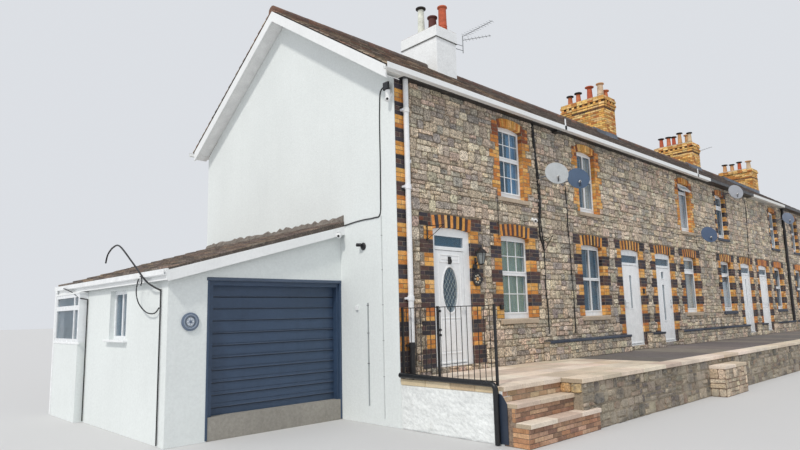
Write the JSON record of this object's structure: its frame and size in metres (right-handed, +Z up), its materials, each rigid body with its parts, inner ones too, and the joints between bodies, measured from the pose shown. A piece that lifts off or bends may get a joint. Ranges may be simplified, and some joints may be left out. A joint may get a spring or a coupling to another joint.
{
  "type": "terraced house row",
  "caption": "Row of joined two-storey stone houses with banded brick arches, chimneys, a rendered gable, a lean-to garage, a raised terrace and hinged front doors.",
  "frame": {"origin": "front corner of the gable wall, at the lowest ground", "axes": "+X along the front away from the gable, +Y back from the front wall, +Z up"},
  "size_m": [31.36, 9.997, 10.55],
  "materials": {
    "rubble_stone": "grey-brown rubble stone",
    "arch_brick": "banded brick",
    "dressed_stone": "dressed sandstone",
    "pale_render": "rough pale render",
    "brown_brick": "brown brick",
    "floor": "plain floor",
    "white_upvc": "white frame",
    "window_glass": "clear glass",
    "roof_tiles": "weathered brown tiles",
    "white_boards": "white boards",
    "chimney_masonry": "brick and render",
    "clay_pots": "fired clay",
    "slate_blue_paint": "slate-blue paint",
    "black_iron": "black iron",
    "black_plastic": "black plastic",
    "grey_dish": "grey paint",
    "door_leaf": "white door"
  },
  "bodies": {
    "row": {"front_wall_base": "rubble_stone", "front_wall_piers": "rubble_stone", "window_aprons": "rubble_stone", "front_wall_upper": "rubble_stone", "rear_wall": "rubble_stone", "low_plinth": "rubble_stone", "brick_arches": "arch_brick", "stone_sills": "dressed_stone", "step_treads": "dressed_stone", "terrace_flags": "dressed_stone", "gable_wall": "pale_render", "party_walls": "pale_render", "end_wall": "pale_render", "garage_front_wall": "pale_render", "garage_back_wall": "pale_render", "garage_side_wall": "pale_render", "terrace_end_wall": "pale_render", "terrace_body": "brown_brick", "step_blocks": "brown_brick", "ground_floors": "floor", "upper_floors": "floor", "garage_threshold": "floor", "front_window_frames": "white_upvc", "rear_window_frames": "white_upvc", "lean_to_window_frames": "white_upvc", "door_frame_posts": "white_upvc", "door_frame_rails": "white_upvc", "back_doors": "white_upvc", "front_window_glass": "window_glass", "rear_window_glass": "window_glass", "lean_to_glass": "window_glass", "fanlight_glass": "window_glass", "roof_front": "roof_tiles", "roof_rear": "roof_tiles", "ridge_tiles": "roof_tiles", "garage_roof": "roof_tiles", "barge_boards": "white_boards", "eaves_boards": "white_boards", "gutters": "white_boards", "garage_fascias": "white_boards", "downpipes": "white_boards", "chimney_stacks": "chimney_masonry", "chimney_pots": "clay_pots", "garage_door_frame": "slate_blue_paint", "garage_door": "slate_blue_paint", "railing": "black_iron", "wall_lantern": "black_iron", "drain_pipe": "black_plastic", "satellite_dishes": "grey_dish"},
    "front_door_1": {"front_door_1": "door_leaf", "front_door_1_glass": "window_glass"},
    "front_door_2": {"front_door_2": "door_leaf", "front_door_2_glass": "window_glass"},
    "front_door_3": {"front_door_3": "door_leaf", "front_door_3_glass": "window_glass"},
    "front_door_4": {"front_door_4": "door_leaf", "front_door_4_glass": "window_glass"},
    "front_door_5": {"front_door_5": "door_leaf"},
    "front_door_6": {"front_door_6": "door_leaf", "front_door_6_glass": "window_glass"}
  },
  "joints": [
    {"name": "front_door_1_hinge", "type": "hinge", "parent": "row", "child": "front_door_1", "pos_m": [0.959, 0.11, 1.958], "axis": [0, 0, 1], "range_deg": [0, 88]},
    {"name": "front_door_2_hinge", "type": "hinge", "parent": "row", "child": "front_door_2", "pos_m": [8.951, 0.11, 1.958], "axis": [0, 0, -1], "range_deg": [0, 88]},
    {"name": "front_door_3_hinge", "type": "hinge", "parent": "row", "child": "front_door_3", "pos_m": [10.089, 0.11, 1.958], "axis": [0, 0, 1], "range_deg": [0, 88]},
    {"name": "front_door_4_hinge", "type": "hinge", "parent": "row", "child": "front_door_4", "pos_m": [18.051, 0.11, 1.958], "axis": [0, 0, -1], "range_deg": [0, 88]},
    {"name": "front_door_5_hinge", "type": "hinge", "parent": "row", "child": "front_door_5", "pos_m": [19.189, 0.11, 1.958], "axis": [0, 0, 1], "range_deg": [0, 88]},
    {"name": "front_door_6_hinge", "type": "hinge", "parent": "row", "child": "front_door_6", "pos_m": [27.151, 0.11, 1.958], "axis": [0, 0, -1], "range_deg": [0, 88]}
  ]
}
